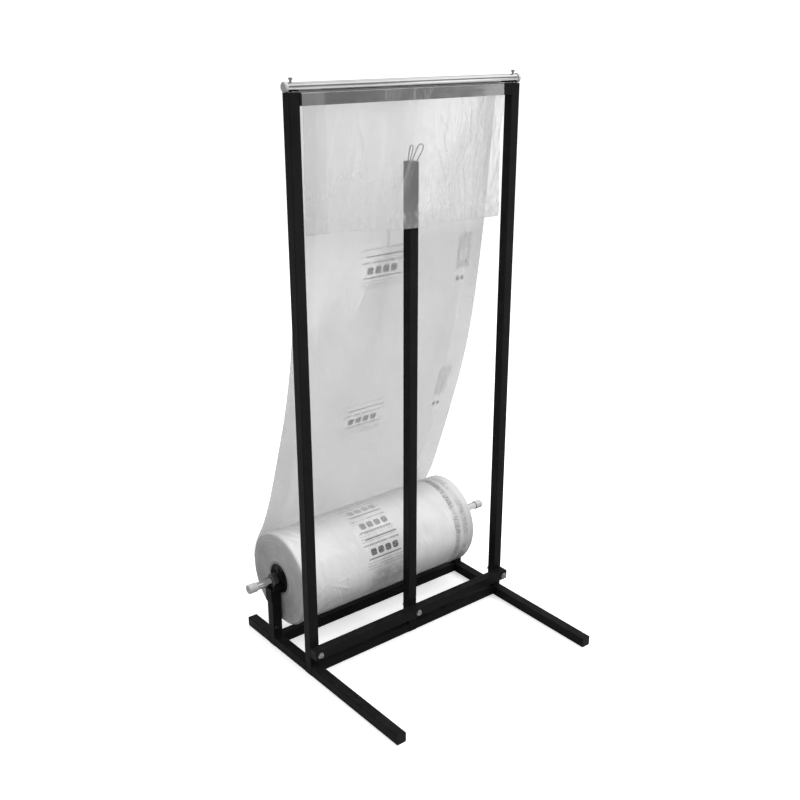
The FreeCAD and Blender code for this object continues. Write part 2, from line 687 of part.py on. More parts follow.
# Wire centre line as (x, y, height above the plug), foot to foot.
RIGHT_LOOP = [
    (-2.6, 7.0, -5), (1.5, 6.6, 5), (10.0, 5.6, rise * 0.60), (15.6, 5.0, rise * 0.86),
    (22.6, 4.4, rise * 0.975), (28.2, 4.0, rise * 0.90), (27.6, 4.0, rise * 0.68),
    (22.0, 4.4, rise * 0.40), (15.0, 4.8, 5), (9.0, 5.2, -5)]
LEFT_LOOP = [
    (-9.6, 9.6, -5), (-8.4, 9.2, 6), (-6.6, 8.4, rise * 0.60), (-4.8, 8.0, rise * 0.80),
    (-0.8, 7.8, rise * 0.945), (3.0, 8.0, rise * 0.82), (2.6, 8.4, rise * 0.6),
    (0.2, 9.2, rise * 0.34), (-4.0, 10.4, -5)]


def hairpin(name, stations):
    """Wire swept along a smooth path; the feet are cut level just above the plug."""
    top = dim.centre_top.value
    points = [Vector(x, y, top + height) for x, y, height in stations]
    curve = spline(points)
    start_direction = curve.tangent(curve.FirstParameter)[0]
    ring = Part.Circle(points[0], start_direction, dim.wire_radius.value).toShape()
    pipe = Part.Wire([curve.toShape()]).makePipeShell([Part.Wire([ring])], True, True)
    keep = Part.makeBox(KEEP_SIZE, KEEP_SIZE, KEEP_SIZE,
                        Vector(-KEEP_SIZE / 2, -KEEP_SIZE / 2, top + FOOT_GAP))
    loop = doc.addObject("Part::Feature", name)
    loop.Shape = pipe.common(keep).Solids[0]
    # The path is drawn at full height, so only a change of the post's top moves it.
    place(loop, 0, 0, dim.centre_top - top)
    return loop


pieces.append(hairpin("right_wire_loop", RIGHT_LOOP))
pieces.append(hairpin("left_wire_loop", LEFT_LOOP))

# --- checks, then one file for each piece -------------------------------------
doc.recompute()
bad = [o.Name for o in doc.Objects if "Invalid" in o.State or "Error" in o.State]
if bad:
    raise RuntimeError("objects in error: %s" % bad)
for obj in pieces:
    shape = obj.Shape
    if shape.isNull() or not shape.isValid() or not shape.Solids or shape.Volume <= 0:
        raise RuntimeError("bad shape: %s" % obj.Label)
os.makedirs("parts", exist_ok=True)
for old in os.listdir("parts"):
    if old.endswith(".step"):
        os.remove(os.path.join("parts", old))
for obj in pieces:
    obj.Shape.exportStep("parts/%s.step" % obj.Label)
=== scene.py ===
"""A film dispenser: a steel tube frame with a roll of gusseted polyethylene tube film.

The front is -Y, left is -X and the floor is z = 0. The roll lies along X behind the frame's
middle. Meshes are worked out in millimetres, materials and the scene in metres.
"""

import json
import math

import bmesh
import bpy
import numpy as np
from mathutils import Matrix, Vector, noise


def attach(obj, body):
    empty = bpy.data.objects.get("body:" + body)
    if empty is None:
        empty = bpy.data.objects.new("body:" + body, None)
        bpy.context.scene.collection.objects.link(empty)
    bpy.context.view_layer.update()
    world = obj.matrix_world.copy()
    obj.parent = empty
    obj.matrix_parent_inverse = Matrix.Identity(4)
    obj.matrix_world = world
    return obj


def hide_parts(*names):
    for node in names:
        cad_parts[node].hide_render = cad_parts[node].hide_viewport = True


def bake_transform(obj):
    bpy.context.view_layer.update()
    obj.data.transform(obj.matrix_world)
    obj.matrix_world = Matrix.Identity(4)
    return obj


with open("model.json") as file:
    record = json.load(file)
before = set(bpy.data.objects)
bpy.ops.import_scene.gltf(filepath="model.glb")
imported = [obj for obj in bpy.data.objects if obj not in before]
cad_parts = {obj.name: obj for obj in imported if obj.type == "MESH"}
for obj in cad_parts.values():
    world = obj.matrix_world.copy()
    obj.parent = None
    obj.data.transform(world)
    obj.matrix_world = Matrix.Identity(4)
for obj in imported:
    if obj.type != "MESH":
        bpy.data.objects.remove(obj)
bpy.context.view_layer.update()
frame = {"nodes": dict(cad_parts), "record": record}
MM = 0.001

# frame, mm
TUBE = 25.0                      # side of the square tubes
POST_X = 311.0                   # outer face of the posts, either side of the middle
REAR_Y = 163.5                   # front face of the rear floor tube
TOP_Z = 1348.8                   # upper face of the top member
STUB_X = -10.5                   # left face of the tube that meets the front floor tube

# roll and film, mm
SHAFT_Y, SHAFT_Z = 176.0, 181.05
ROLL_L, ROLL_R = -282.0, 261.0
WRAP_R = 116.0                   # nominal radius of the wound film
CORE_R = 44.1                    # inner radius of the wound film
GUSSET = 52.0                    # depth of the folded margins


# ------------------------------------------------------------------ node graphs
class Value:
    """One output of a node. Arithmetic on it adds math nodes to its graph."""

    def __init__(self, graph, socket):
        self.graph = graph
        self.socket = socket

    def math(self, operation, other=None):
        return self.graph.value("ShaderNodeMath", {0: self, 1: other}, operation=operation)

    def after(self, number, operation):
        """The same with a plain number as the first operand."""
        return self.graph.value("ShaderNodeMath", {0: number, 1: self}, operation=operation)

    def __add__(self, other):
        return self.math("ADD", other)

    def __radd__(self, number):
        return self.after(number, "ADD")

    def __sub__(self, other):
        return self.math("SUBTRACT", other)

    def __rsub__(self, number):
        return self.after(number, "SUBTRACT")

    def __mul__(self, other):
        return self.math("MULTIPLY", other)

    def __rmul__(self, number):
        return self.after(number, "MULTIPLY")

    def __pow__(self, power):
        return self.math("POWER", power)

    def __abs__(self):
        return self.math("ABSOLUTE")

    def max(self, other):
        return self.math("MAXIMUM", other)

    def min(self, other):
        return self.math("MINIMUM", other)

    def fract(self):
        return self.math("FRACT")

    def remap(self, over, to=(0.0, 1.0), smooth=False):
        """Carry the range `over` to the range `to`, clamped."""
        return self.graph.value(
            "ShaderNodeMapRange", {0: self, 1: over[0], 2: over[1], 3: to[0], 4: to[1]},
            clamp=True, interpolation_type="SMOOTHSTEP" if smooth else "LINEAR")

    def vary(self, low, high):
        """Carry the usual span of a noise to low..high."""
        return self.remap(over=(0.3, 0.7), to=(low, high))

    def band(self, low, high, soft):
        """1 between low and high with soft sides, 0 outside."""
        rise = self.remap(over=(low - soft, low + soft))
        return rise * self.remap(over=(high - soft, high + soft), to=(1.0, 0.0))

    def ridge(self, steepness):
        """Thin lines where a noise passes through its middle."""
        return (1.0 - abs((self - 0.5) * steepness)).max(0.0) ** 2.0

    def split(self):
        node = self.graph.node("ShaderNodeSeparateXYZ", {0: self})
        return [Value(self.graph, out) for out in node.outputs]

    def scaled(self, x, y, z):
        return self.graph.value("ShaderNodeVectorMath", {0: self, 1: (x, y, z)},
                                operation="MULTIPLY")

    def shifted_x(self, amount):
        return self.graph.value("ShaderNodeVectorMath", {0: self, 1: vector(amount, 0.0)},
                                operation="ADD")

    def noise(self, scale=1.0, detail=3.0, rough=0.5, distort=0.0):
        return self.graph.value("ShaderNodeTexNoise", {
            "Vector": self, "Scale": scale, "Detail": detail,
            "Roughness": rough, "Distortion": distort})

    def grey(self):
        return self.graph.value("ShaderNodeCombineColor", {0: self, 1: self, 2: self})

    def bump(self, strength, distance):
        return self.graph.value("ShaderNodeBump", {
            "Height": self, "Strength": strength, "Distance": distance})


def vector(x, y, z=0.0):
    return x.graph.value("ShaderNodeCombineXYZ", {0: x, 1: y, 2: z})


class Graph:
    """The node tree of a material or world."""

    def __init__(self, owner, output="ShaderNodeOutputMaterial"):
        self.owner = owner
        owner.use_nodes = True
        self.tree = owner.node_tree
        self.tree.nodes.clear()
        self.surface = self.tree.nodes.new(output).inputs["Surface"]

    def node(self, kind, inputs=None, **props):
        node = self.tree.nodes.new(kind)
        for name, prop in props.items():
            setattr(node, name, prop)
        for key, given in (inputs or {}).items():
            if isinstance(given, Value):
                self.tree.links.new(given.socket, node.inputs[key])
            elif given is not None:
                node.inputs[key].default_value = given
        return node

    def value(self, kind, inputs=None, output=0, **props):
        return Value(self, self.node(kind, inputs, **props).outputs[output])

    def coord(self):
        return self.value("ShaderNodeTexCoord", output="Object")

    def attribute(self, name):
        return self.value("ShaderNodeAttribute", output="Fac", attribute_name=name)

    def light_path(self, *outputs):
        node = self.node("ShaderNodeLightPath")
        return [Value(self, node.outputs[name]) for name in outputs]

    def bsdf(self, color, rough, spec=None, metallic=None, normal=None, more=None):
        return self.value("ShaderNodeBsdfPrincipled", {
            "Base Color": color, "Roughness": rough, "Specular IOR Level": spec,
            "Metallic": metallic, "Normal": normal, **(more or {})})

    def mix(self, share, first, second):
        return self.value("ShaderNodeMixShader", {0: share, 1: first, 2: second})

    def finish(self, shader):
        self.tree.links.new(shader.socket, self.surface)
        return self.owner


def material(name):
    return Graph(bpy.data.materials.new(name))


# ------------------------------------------------------------------ plain materials
def black_paint():
    g = material("black_powder_coat")
    p = g.coord()
    peel = p.noise(scale=900.0, detail=2.0, rough=0.55)
    wide = p.noise(scale=9.0, detail=4.0, rough=0.6)
    up = g.value("ShaderNodeNewGeometry", output="Normal").split()[2].remap(over=(0.6, 1.0))
    # dust on faces that look up, and scuffs
    dust = up * p.noise(scale=55.0, detail=4.0, rough=0.65).remap(over=(0.42, 0.72)) * 0.012
    scuff = p.scaled(30.0, 130.0, 60.0).noise(scale=1.6, detail=5.0, rough=0.7, distort=0.4)
    scuff = scuff.remap(over=(0.66, 0.78)) * 0.016
    tone = wide.vary(0.0052, 0.0092) + dust * 0.6 + scuff * 0.8
    # painted light and shade: paler towards the top of the frame, darker low down where the base
    # lies in shade
    tone = tone * p.split()[2].remap(over=(0.05, 1.0), to=(1.0, 1.6), smooth=True)
    rough = p.noise(scale=40.0, detail=4.0, rough=0.6).vary(0.34, 0.48) + dust * 6.0
    return g.finish(g.bsdf(tone.grey(), rough, spec=0.08,
                           normal=peel.bump(strength=0.16, distance=0.00035)))


def black_plastic():
    g = material("black_moulded_nylon")
    p = g.coord()
    grain = p.noise(scale=1500.0, detail=2.0, rough=0.6)
    tone = p.noise(scale=60.0, rough=0.6).vary(0.005, 0.010)
    rough = p.noise(scale=120.0, detail=2.0).vary(0.42, 0.56)
    return g.finish(g.bsdf(tone.grey(), rough, spec=0.16,
                           normal=grain.bump(strength=0.22, distance=0.0003)))


def chrome():
    g = material("bright_chrome")
    p = g.coord()
    haze = p.noise(scale=18.0, detail=4.0, rough=0.6)
    lines = p.scaled(12.0, 1400.0, 1400.0).noise(rough=0.6)
    rough = haze.remap(over=(0.35, 0.7), to=(0.075, 0.16))
    rough = rough + lines.remap(over=(0.55, 0.8), to=(0.0, 0.08))
    return g.finish(g.bsdf(haze.vary(0.70, 0.80).grey(), rough, metallic=1.0,
                           normal=lines.bump(strength=0.05, distance=0.0002)))


def pale_cap():
    g = material("pale_grey_moulding")
    p = g.coord()
    tone = p.noise(scale=45.0, detail=4.0, rough=0.6).vary(0.50, 0.60)
    rough = p.noise(scale=160.0).vary(0.26, 0.42)
    grain = p.noise(scale=700.0, detail=2.0)
    return g.finish(g.bsdf(tone.grey(), rough, spec=0.55,
                           normal=grain.bump(strength=0.12, distance=0.0003)))


def metal(name, tone, rough, grain_scale=400.0):
    """Bare metal. tone and rough are the ranges that the noise runs through."""
    g = material(name)
    p = g.coord()
    shade = p.noise(scale=70.0, detail=4.0, rough=0.65).vary(*tone)
    grain = p.scaled(1.0, 1.0, 3.0).noise(scale=grain_scale, detail=4.0, rough=0.6)
    return g.finish(g.bsdf(shade.grey(), grain.vary(*rough), metallic=1.0,
                           normal=grain.bump(strength=0.15, distance=0.0003)))


def from_shaft(y, z):
    """Offsets from the roll's axis, m."""
    return y - SHAFT_Y * MM, z - SHAFT_Z * MM


def axis_distance(across, up):
    return (across ** 2.0 + up ** 2.0).math("SQRT")


def core_board():
    g = material("spiral_paperboard")
    p = g.coord()
    x, y, z = p.split()
    across, up = from_shaft(y, z)
    angle = up.math("ARCTAN2", across)
    spiral = ((x * 40.0 + angle * 1.0) * 6.0).math("SINE")
    fibre = p.scaled(150.0, 900.0, 900.0).noise(detail=4.0, rough=0.65)
    radius = axis_distance(*from_shaft(y, z))
    plies = vector(radius, 0.0).scaled(1.0, 0.0, 0.0).noise(scale=2600.0, detail=1.0)
    tone = fibre.vary(0.40, 0.48) + plies.remap(over=(0.35, 0.65), to=(-0.06, 0.06))
    tone = tone - spiral.remap(over=(0.96, 1.0)) * 0.06
    # slightly warm
    color = g.value("ShaderNodeCombineColor", {0: tone, 1: tone * 0.985, 2: tone * 0.955})
    return g.finish(g.bsdf(color, 0.82, spec=0.25,
                           normal=fibre.bump(strength=0.3, distance=0.0004)))


def floor_material():
    """Pale floor, darker to bounced light than to the camera, to which it also glows."""
    g = material("pale_floor")
    tone = g.coord().noise(scale=1.2).vary(0.90, 0.925)
    glossy, diffuse, camera_ray = g.light_path("Is Glossy Ray", "Is Diffuse Ray", "Is Camera Ray")
    seen = 1.0 - glossy * 0.38
    seen = seen * (1.0 - diffuse * 0.84)
    g.owner.cycles.emission_sampling = "NONE"
    return g.finish(g.bsdf((tone * seen).grey(), 0.75, spec=0.0, more={
        "Emission Color": (1, 1, 1, 1), "Emission Strength": camera_ray * 0.40}))


# ------------------------------------------------------------------ print on the film
# Rows of dashes, plain rules and a row of solid rounded tablets. No characters.
def print_block(u, v, left, right, bottom, seed):
    """Ink mask of one block. u runs across the film and v along it, in metres."""
    du = u - left
    width = right - left
    dv = (v - bottom) * (1.0 / 1.16)             # the rows below are drawn out by 1.16
    across = du.band(0.0, width, soft=0.0008)

    def dashes(low, high, pitch, gap, phase, ink):
        """gap is a share of the pitch."""
        row = dv.band(low, high, soft=0.0007)
        dash = ((du + phase) * (1.0 / pitch)).fract().remap(over=(gap, gap + 0.08))
        patch = vector(du * 55.0, seed + low * 300.0).noise(detail=1.0)
        return row * dash * patch.remap(over=(0.34, 0.46), to=(0.25, 1.0)) * ink

    def tablets(centre, half_height, first, count, pitch, half_width, ink):
        """Rounded tablets, from the distance to a rounded rectangle in each cell."""
        run = du - first
        cell = ((run * (1.0 / pitch)).fract() - 0.5) * pitch
        radius = half_width * 0.55
        past_x = (abs(cell) - (half_width - radius)).max(0.0)
        past_y = (abs(dv - centre) - (half_height - radius)).max(0.0)
        distance = (past_x * past_x + past_y * past_y).math("SQRT") - radius
        worn = vector(du * 240.0, dv * 240.0).noise(detail=2.0)
        worn = worn.remap(over=(0.34, 0.52), to=(0.62, 1.0))
        body = distance.remap(over=(-0.0007, 0.0007), to=(1.0, 0.0))
        return body * run.band(0.0, count * pitch, soft=0.0004) * worn * ink

    def rule(low, start, stop):
        line = dv.band(low, low + 0.0022, soft=0.0006)
        return line * du.band(start, stop, soft=0.0008) * 1.0

    # dashes: low, high, pitch, gap, phase, ink; rules: low, start, stop
    rows = [
        dashes(0.000, 0.0024, 0.0043, 0.22, 0.0, 0.55),
        dashes(0.0065, 0.0090, 0.0056, 0.20, 0.7, 0.60),
        dashes(0.0130, 0.0152, 0.0039, 0.22, 1.3, 0.50),
        rule(0.0215, 0.006, width - 0.004),
        tablets(centre=0.0372, half_height=0.0074, first=0.013, count=4, pitch=0.0225,
                half_width=0.0088, ink=0.95),
        dashes(0.0520, 0.0556, 0.0062, 0.20, 0.4, 0.75),
        rule(0.0655, 0.010, width - 0.002),
        dashes(0.0790, 0.0828, 0.0088, 0.22, 0.2, 0.45),
    ]
    ink = rows[0]
    for row in rows[1:]:
        ink = ink.max(row)
    return ink * across


def margin_print(u, v, bottom, seed, left=0.184, right=0.226):
    """Small faint dashes set across the right margin, and a pair of tablets below them."""
    du, dv = u - left, v - bottom
    pitch = 0.0086
    box = du.band(0.0, right - left, soft=0.0025) * dv.band(0.0, 0.088, soft=0.003)
    columns = (du * (1.0 / pitch)).fract().remap(over=(0.20, 0.32))
    cell = (du * (1.0 / pitch)).math("FLOOR")
    rows = vector(dv * 170.0, cell * 3.7 + seed).noise(detail=1.0).remap(over=(0.36, 0.50))
    haze = vector(du * 60.0, dv * 40.0 + seed).noise(detail=2.0)
    haze = haze.remap(over=(0.3, 0.6), to=(0.35, 1.0))
    first, tablet_pitch = 0.002, 0.015
    pair = du.band(first, 0.032, soft=0.0008) * dv.band(-0.032, -0.021, soft=0.0014)
    cells = ((du - first) * (1.0 / tablet_pitch)).fract()
    pair = pair * abs(cells - 0.5).remap(over=(0.30, 0.36), to=(1.0, 0.0))
    return box * (columns * haze) * rows * 0.70 + pair * 0.85


# ------------------------------------------------------------------ film materials
def film(name, flap, opacity, fold_opacity, tone, streak_haze, haze_opacity, ridge_opacity,
         bump, gloss_rough, mirror, fold_mirror):
    """Hazy polyethylene film. Its UV map holds metres across and along the film.

    The fold_ values are shares that remain in the folded margins.
    """
    g = material(name)
    u, v, _ = g.value("ShaderNodeUVMap", uv_map="film").split()
    flat = vector(u, v)
    # faint streaks drawn out along the film, slow clouds, and soft pull marks that wander
    streak = flat.scaled(42.0, 1.3, 1.0).noise(rough=0.55, distort=0.15)
    cloud = flat.scaled(9.0, 6.0, 1.0).noise(distort=0.3)
    bent = vector(u + flat.scaled(4.0, 3.0, 1.0).noise(detail=2.0) * 0.16, v)
    ridge = bent.scaled(26.0, 6.0, 1.0).noise(detail=2.0, distort=0.2).ridge(steepness=11.0)
    ridge = ridge * flat.scaled(5.0, 4.0, 1.0).noise(detail=2.0).remap(over=(0.48, 0.64))
    haze = streak.vary(-0.5, 0.5) * streak_haze + cloud.vary(-0.5, 0.5)
    cover = opacity * (1.0 + haze * haze_opacity)
    cover = cover + ridge * ridge_opacity
    crumple = g.attribute("crumple")
    fold = g.attribute("fold")
    cover = cover * fold.remap(over=(0.0, 1.0), to=(1.0, fold_opacity))
    cover = cover + crumple * 0.16
    shade = tone + haze * 0.02
    if flap:
        cover = cover * u.remap(over=(-0.02, 0.10), to=(1.0, 0.82), smooth=True)
        height = streak * 0.25 + (cloud * 0.55 + ridge * 0.5)
        small = flat.scaled(70.0, 60.0, 1.0).noise(rough=0.55, distort=0.8)
        height = height + small * crumple * 0.55
    else:
        # painted shade: darker low on the rise, near the roll behind the frame; painted paler
        # again where it lies on the roll, up to the roll's own tone
        shade = shade * v.remap(over=(0.05, 0.36), to=(0.78, 1.0))
        shade = shade * v.remap(over=(-0.03, 0.03), to=(1.60, 1.0), smooth=True)
        # where it lies on the roll it clings and almost disappears
        cover = cover * v.remap(over=(-0.032, 0.030), to=(0.10, 1.0), smooth=True)
        # thinner looking near the bend, more so on the right, and in the right margin
        cover = cover * v.remap(over=(0.80, 1.06), to=(1.0, 0.66), smooth=True)
        high = v.remap(over=(0.78, 0.90), smooth=True) * u.remap(over=(-0.02, 0.09), smooth=True)
        cover = cover * (1.0 - high * 0.55)
        cover = cover * u.remap(over=(0.198, 0.213), to=(1.0, 0.80))
        low_block = print_block(u, v, left=-0.101, right=0.020, bottom=0.303, seed=1.0)
        high_block = print_block(u, v, left=-0.101, right=0.020, bottom=0.709, seed=5.0)
        low_margin = margin_print(u, v, bottom=0.354, seed=2.0)
        high_margin = margin_print(u, v, bottom=0.718, seed=8.0)
        ink = low_block.max(high_block).max(low_margin.max(high_margin))
        # the print is on the outer side only
        ink = ink * g.attribute("outer")
        cover = cover + ink * 0.80 * (1.0 - cover)
        shade = shade * (1.0 - ink * 0.92)
        height = streak * 0.10 + (cloud * 0.45 + ridge * 0.40)
    color = shade.grey()
    normal = height.bump(strength=bump, distance=0.004)
    matt = g.bsdf(color, 0.5, spec=0.0, normal=normal)
    glow = g.value("ShaderNodeBsdfTranslucent", {"Color": color, "Normal": normal})
    body = g.mix(0.45, matt, glow)
    clear = g.value("ShaderNodeBsdfTransparent", {"Color": (0.992, 0.992, 0.992, 1)})
    thin = g.mix(cover.min(1.0), clear, body)
    # the smooth skin mirrors as strongly where the film is clear as where it is hazy
    shine = g.value("ShaderNodeBsdfAnisotropic", {
        "Color": (0.95, 0.95, 0.95, 1), "Roughness": gloss_rough, "Normal": normal})
    fresnel = g.value("ShaderNodeFresnel", {"IOR": 1.46, "Normal": normal})
    fresnel = (fresnel * mirror).min(0.4)
    fresnel = fresnel * fold.remap(over=(0.0, 1.0), to=(1.0, fold_mirror))
    return g.finish(g.mix(fresnel, thin, shine))


def wound_print(p, x, arc):
    """Ink seen in the outermost turns, strongest in the top layer."""
    top = print_block(x, arc, left=-0.092, right=0.018, bottom=0.004, seed=3.0)
    second = print_block(x, arc, left=-0.094, right=0.012, bottom=0.075, seed=9.0) * 0.72
    third = print_block(x, arc, left=-0.096, right=0.010, bottom=0.128, seed=4.0) * 0.42
    lower = print_block(x, arc, left=-0.078, right=0.030, bottom=-0.085, seed=6.0) * 0.34
    ink = top.max(second).max(third.max(lower))
    blot = x.band(-0.080, 0.020, soft=0.012) * arc.band(-0.105, 0.0, soft=0.012)
    blot = blot * p.scaled(60.0, 90.0, 90.0).noise().remap(over=(0.4, 0.6), to=(0.12, 0.34))
    # margin print wound over itself: ragged columns of short marks, patchy all the way round
    columns = x.band(0.1975, 0.2130, soft=0.0020) + x.band(0.2225, 0.2385, soft=0.0022) * 0.85
    marks = p.scaled(120.0, 240.0, 240.0).noise(detail=2.0, rough=0.6).remap(over=(0.42, 0.58))
    worn = p.scaled(24.0, 22.0, 22.0).noise(detail=2.0).remap(over=(0.34, 0.62), to=(0.30, 1.0))
    ring = columns * (0.32 + marks * 0.46) * worn
    ring = ring.max(x.band(0.196, 0.240, soft=0.004) * 0.10)
    fold_line = x.band(0.2065, 0.2085, soft=0.0008) * 0.12
    return ink.max(blot).max(ring.max(fold_line))


def wound_film():
    g = material("wound_polyethylene")
    p = g.coord()
    x, y, z = p.split()
    back, up = from_shaft(y, z)
    radius = axis_distance(back, up)
    angle = up.math("ARCTAN2", back * -1.0)      # 0 at the front, a quarter turn at the top
    facing = g.value("ShaderNodeNewGeometry", output="True Normal").split()[0]
    side = abs(facing).remap(over=(0.55, 0.8))   # 1 on the two ends
    arc = angle * (WRAP_R * MM)
    streak = p.scaled(26.0, 7.0, 7.0).noise(detail=4.0, rough=0.55, distort=0.4)
    cloud = p.scaled(6.0, 11.0, 11.0).noise(rough=0.55)
    pull = p.shifted_x(arc * 0.35).scaled(36.0, 9.0, 9.0).noise(detail=2.0, distort=0.3)
    crease = pull.ridge(steepness=10.0)
    crease = crease * p.scaled(9.0, 9.0, 9.0).noise(detail=2.0).remap(over=(0.44, 0.62))
    ink = wound_print(p, x, arc) * (1.0 - side)

    # outer turns: paler in the margins, darker just behind the top
    gusset = x.remap(over=(0.206, 0.2085), to=(0.0, 0.03))
    gusset = gusset + x.remap(over=(-0.230, -0.2275), to=(0.03, 0.0))
    surface = (0.76 + (streak - 0.5) * 0.20) + ((cloud - 0.5) * 0.12 + gusset)
    # painted highlight: the creases are painted paler along their lines
    surface = surface + crease * 0.12
    shadow = angle.remap(over=(1.05, 1.55), smooth=True)
    shadow = shadow * angle.remap(over=(1.9, 2.4), to=(1.0, 0.0), smooth=True)
    surface = surface * (1.0 - shadow * 0.16)

    # turns seen from the end
    turns = vector(radius * 1.0, angle * 0.0004).noise(scale=1100.0, rough=0.65)
    wide = vector(radius, angle * 0.003).noise(scale=130.0, rough=0.6)
    # painted highlight: a paler band towards the outer edge of each end, where the rounded rim
    # catches the light
    rim = radius.remap(over=(0.092, 0.114), smooth=True) * 0.10
    mottle = (p.scaled(10.0, 24.0, 24.0).noise() - 0.5) * 0.34
    # painted light: the ends are paler towards the top and the front, where the light falls on
    # them
    painted_end_light = (up - back * 0.6).remap(over=(-0.09, 0.09), to=(-0.02, 0.19), smooth=True)
    ends = 0.49 + (rim + mottle) + (turns - 0.5) * 0.14 + (wide - 0.5) * 0.13
    ends = ends + painted_end_light
    tone = (surface * (1.0 - side) + ends * side) * (1.0 - ink * 0.86)

    # fine crinkles, strongest on the looser left part
    loose = x.remap(over=(-0.03, 0.05), to=(1.0, 0.25), smooth=True)
    crinkle = p.shifted_x(arc * 0.5).scaled(70.0, 26.0, 26.0).noise(rough=0.6, distort=1.2)
    crinkle = abs(crinkle - 0.5)
    relief = (streak * 0.4 + crease * 0.45) + crinkle * loose * -1.5
    height = relief * (1.0 - side) + turns * (side * 0.35)
    return g.finish(g.bsdf(
        tone.grey(), 0.28 + side * 0.22, spec=0.45,
        normal=height.bump(strength=0.40, distance=0.003),
        more={"Subsurface Weight": 0.10, "Subsurface Radius": (0.004, 0.004, 0.004)}))


# ------------------------------------------------------------------ mesh helpers
def new_object(name, verts, faces, materials):
    mesh = bpy.data.meshes.new(name)
    mesh.from_pydata([tuple(v) for v in verts], [], [tuple(f) for f in faces])
    mesh.validate()
    for mat in materials:
        mesh.materials.append(mat)
    mesh.polygons.foreach_set("use_smooth", [True] * len(mesh.polygons))
    ob = bpy.data.objects.new(name, mesh)
    bpy.context.scene.collection.objects.link(ob)
    return ob


def close_mesh(mesh, caps=()):
    """Add the caps as triangles, turn all normals outward and smooth the faces."""
    bm = bmesh.new()
    bm.from_mesh(mesh)
    bm.verts.ensure_lookup_table()
    for cap in caps:
        face = bm.faces.new([bm.verts[i] for i in cap])
        bmesh.ops.triangulate(bm, faces=[face])
    bmesh.ops.recalc_face_normals(bm, faces=bm.faces)
    bm.to_mesh(mesh)
    bm.free()
    mesh.polygons.foreach_set("use_smooth", [True] * len(mesh.polygons))


def ramp_up(values, start, length):
    """0 before start, then a straight rise to 1 over the length."""
    return np.clip((values - start) / length, 0, 1)


def fractal(coords, offset, drift, octaves):
    """Smooth noise at arrays of x, y, z, about -1 to 1. drift moves each finer octave."""
    shape = coords[0].shape
    points = np.stack([c.ravel() for c in coords], -1)
    offset, drift = np.array(offset), np.array(drift)
    out = np.zeros(len(points))
    total = 0.0
    for octave in range(octaves):
        amplitude = 0.5 ** octave
        moved = points * 2.0 ** octave + offset + drift * octave
        out += amplitude * np.array([noise.noise(Vector(point)) for point in moved])
        total += amplitude
    return (out / total).reshape(shape)


def sheet_noise(u, v, scale_u, scale_v, seed):
    return fractal((u * scale_u, v * scale_v, 0 * u), (0, 0, seed), (0, 0, 7.3), octaves=2)


def creases(u, v, rng, count, box, length, tilt, width, height):
    """Sharp ridges along short lines scattered in the box; v is the long way.

    box is (u low, u high, v low, v high) and tilt the spread of the lines' angle.
    u, v, box, length and width are in metres, height in millimetres.
    """
    out = np.zeros(u.shape)
    for _ in range(count):
        centre_u, centre_v = rng.uniform(box[0], box[1]), rng.uniform(box[2], box[3])
        angle = rng.normal(0.0, tilt)
        half = rng.uniform(0.35, 1.0) * length
        breadth = rng.uniform(0.5, 1.4) * width
        rise = rng.uniform(0.3, 1.0) * height * rng.choice([-1, 1])
        du, dv = u - centre_u, v - centre_v
        along = dv * math.cos(angle) + du * math.sin(angle)
        off = du * math.cos(angle) - dv * math.sin(angle)
        off = off + 0.12 * half * np.sin(along / half * 1.6)
        taper = np.clip(1 - (along / half) ** 2, 0, 1)
        out += rise * taper * np.exp(-np.abs(off) / breadth)
    return out


def roll_radius(x):
    """The folded margins are four layers thick, so the roll is a little fatter there."""
    left = 1 / (1 + np.exp((x - (ROLL_L + GUSSET)) / 2.2))
    right = 1 / (1 + np.exp(-(x - (ROLL_R - GUSSET)) / 2.2))
    edge = np.exp(-(x - ROLL_L) / 2.5) + np.exp(-(ROLL_R - x) / 2.5)
    return 117.8 + 1.6 * left + 1.8 * right - 1.2 * np.clip(edge, 0, 1)


# ------------------------------------------------------------------ the film sheet
TUBE_CORNER = 2.0                # outer corner radius of the top member
FILM_CLEAR = 0.15                # film's distance from the top member
LEAVES_ROLL = (279.2, 237.6)     # y, z where the film leaves the roll
FALL_Z = 1338.0                  # height below which the flap is fitted to its hem

# y, z of the rise behind the frame, from the roll to the top member
RISE = [
    (259.0, 272.4), (231.5, 325.0), (200.5, 400.0), (173.5, 475.0), (147.5, 550.0),
    (118.0, 640.0), (93.5, 735.0), (74.5, 835.0), (59.5, 940.0), (46.5, 1050.0),
    (36.5, 1180.0), (28.4, 1310.0), (26.2, 1336.0), (25.3, 1346.4)]
# y, z of the fall in front
FALL = [
    (-0.32, 1338.0), (-0.75, 1310.0), (-1.2, 1270.0), (-1.6, 1210.0), (-1.9, 1150.0),
    (-2.3, 1090.0), (-3.4, 1050.0)]
# height of the flap's lower edge at places across
HEM_X = [-290, -275, -165, -31, 10, 104, 200, 253]
HEM_Z = [1069, 1068, 1065.5, 1053, 1051.5, 1055, 1052, 1050.5]


def catmull(points):
    """Catmull-Rom curve through the points, in steps of about 1 mm."""
    p = np.array(points, float)
    p = np.vstack([2 * p[0] - p[1], p, 2 * p[-1] - p[-2]])
    out = []
    for i in range(1, len(p) - 2):
        before, start, stop, beyond = p[i - 1:i + 3]
        count = max(2, int(np.linalg.norm(stop - start)))
        for k in range(count):
            t = k / count
            out.append(0.5 * (2 * start + (stop - before) * t
                              + (2 * before - 5 * start + 4 * stop - beyond) * t * t
                              + (3 * start - before - 3 * stop + beyond) * t ** 3))
    out.append(p[-2])
    return np.array(out)


def arc_points(centre_y, centre_z, radius, degrees):
    return [(centre_y + radius * math.cos(math.radians(a)),
             centre_z + radius * math.sin(math.radians(a))) for a in degrees]


